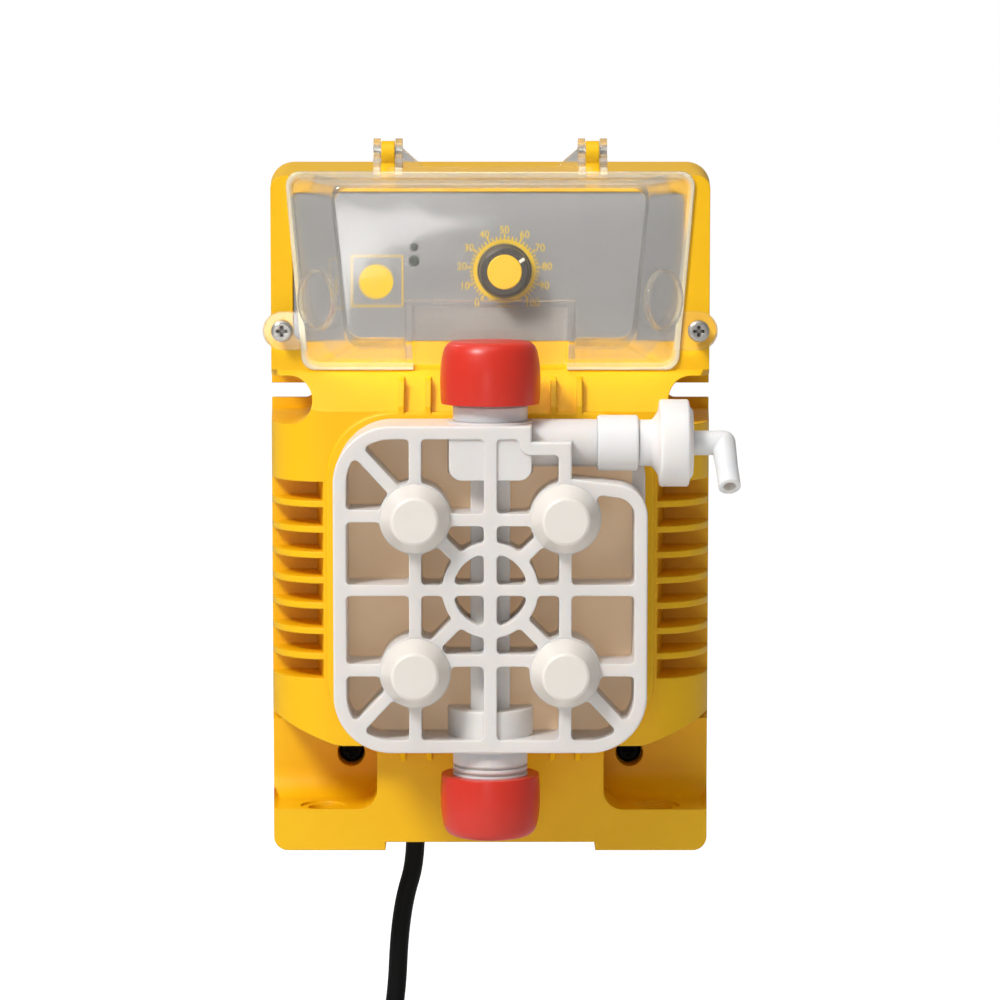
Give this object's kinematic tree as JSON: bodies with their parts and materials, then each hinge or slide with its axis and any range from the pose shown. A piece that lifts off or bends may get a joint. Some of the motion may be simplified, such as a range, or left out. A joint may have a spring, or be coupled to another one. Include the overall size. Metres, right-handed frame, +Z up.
{
  "type": "solenoid diaphragm dosing pump",
  "caption": "Wall-mounted solenoid diaphragm dosing pump with a hinged clear cover over its control dial, a ribbed head, capped ports and a bleed valve.",
  "frame": {"origin": "on the back face, in the middle between the two slots for the wall screws", "axes": "+Z up, +Y into the wall, +X to the right seen from the front; the pump stands out of the wall towards -Y"},
  "size_m": [0.1349, 0.1065, 0.4226],
  "materials": {
    "case_yellow": "moulded, satin",
    "panel_grey": "printed film, matt",
    "lamp_green": "tinted, unlit",
    "knob_black": "moulded, fine texture",
    "dial_yellow": "moulded",
    "clear_plastic": "polished, clear",
    "head_natural": "natural, slightly translucent",
    "cap_white": "moulded",
    "cap_red": "moulded, satin",
    "knob_natural": "natural, slightly translucent",
    "stainless": "turned",
    "zinc_steel": "zinc plated",
    "soft_iron": "machined",
    "rubber_black": "matt",
    "seal_silicone": "translucent silicone",
    "black_steel": "black oxide",
    "ptfe_white": "pressed sheet",
    "ceramic_white": "ground",
    "bush_polymer": "moulded bearing polymer",
    "enamel_copper": "wound enamelled wire",
    "bobbin_black": "moulded",
    "board_green": "solder mask",
    "terminal_green": "moulded",
    "can_sleeve": "shrink sleeve",
    "resistor_cement": "cement",
    "cord_black": "extruded sheath",
    "plug_black": "moulded",
    "nickel": "nickel plated"
  },
  "bodies": {
    "pump": {"front_housing": "case_yellow", "back_cover": "case_yellow", "housing_seal": "rubber_black", "housing_screws": "black_steel", "control_panel": "panel_grey", "indicator_lights": "lamp_green", "potentiometer": "bobbin_black", "circuit_board": "board_green", "board_screws": "zinc_steel", "terminal_block": "terminal_green", "smoothing_capacitor": "can_sleeve", "power_resistor": "resistor_cement", "hinge_pins": "stainless", "splash_shield": "clear_plastic", "pump_head": "head_natural", "head_bolts": "stainless", "head_nuts": "stainless", "bolt_caps": "cap_white", "diaphragm_flange": "head_natural", "rod_bush": "bush_polymer", "discharge_fitting": "head_natural", "discharge_seat": "rubber_black", "discharge_oring": "rubber_black", "suction_fitting": "head_natural", "suction_seat": "rubber_black", "suction_oring": "rubber_black", "bleed_valve_body": "knob_natural", "bleed_oring": "rubber_black", "solenoid_yoke": "soft_iron", "pole_piece": "soft_iron", "coil_bobbin": "bobbin_black", "coil_winding": "enamel_copper", "cable_bush": "rubber_black", "inner_lead": "cord_black", "mains_lead": "cord_black", "lead_coil": "cord_black", "coil_tie": "plug_black", "lead_tail": "cord_black", "plug_body": "plug_black", "plug_pins": "nickel", "earth_clips": "nickel"},
    "cover": {"clear_cover": "clear_plastic", "cover_gasket": "seal_silicone", "cover_screws": "stainless"},
    "dial": {"dial_knob": "knob_black", "dial_cap": "dial_yellow", "dial_shaft": "stainless"},
    "drive": {"armature": "soft_iron", "push_rod": "stainless", "return_spring": "stainless", "diaphragm": "ptfe_white"},
    "discharge_valve": {"discharge_ball": "ceramic_white"},
    "suction_valve": {"suction_ball": "ceramic_white"},
    "discharge_closure": {"discharge_cap": "cap_red"},
    "suction_closure": {"suction_cap": "cap_red"},
    "priming_knob": {"bleed_knob": "knob_natural"},
    "outlet_nozzle": {"bleed_nozzle": "knob_natural"}
  },
  "joints": [
    {"name": "cover_hinge", "type": "hinge", "parent": "pump", "child": "cover", "pos_m": [0, -0.058, 0.0715], "axis": [-1, 0, 0], "range_deg": [0, 110]},
    {"name": "dial_turn", "type": "hinge", "parent": "pump", "child": "dial", "pos_m": [0.00405, -0.06, 0.0381], "axis": [0, 1, 0], "range_deg": [-192.5, 82.5]},
    {"name": "stroke", "type": "slide", "parent": "pump", "child": "drive", "axis": [0, -1, 0], "range_m": [0, 0.00125], "stiffness_N_per_m": 3000, "deforming": ["return_spring", "diaphragm"]},
    {"name": "discharge_ball_lift", "type": "slide", "parent": "pump", "child": "discharge_valve", "axis": [0, 0, 1], "range_m": [0, 0.0015]},
    {"name": "suction_ball_lift", "type": "slide", "parent": "pump", "child": "suction_valve", "axis": [0, 0, 1], "range_m": [0, 0.0015]},
    {"name": "discharge_cap_pull", "type": "slide", "parent": "pump", "child": "discharge_closure", "axis": [0, 0, 1], "range_m": [0, 0.007]},
    {"name": "suction_cap_pull", "type": "slide", "parent": "pump", "child": "suction_closure", "axis": [0, 0, -1], "range_m": [0, 0.008]},
    {"name": "priming_knob_turn", "type": "hinge", "parent": "pump", "child": "priming_knob", "pos_m": [0.045, -0.085, -0.0088], "axis": [1, 0, 0], "range_deg": [0, 180]},
    {"name": "nozzle_swivel", "type": "hinge", "parent": "priming_knob", "child": "outlet_nozzle", "pos_m": [0.055, -0.085, -0.0088], "axis": [1, 0, 0], "continuous": true}
  ]
}
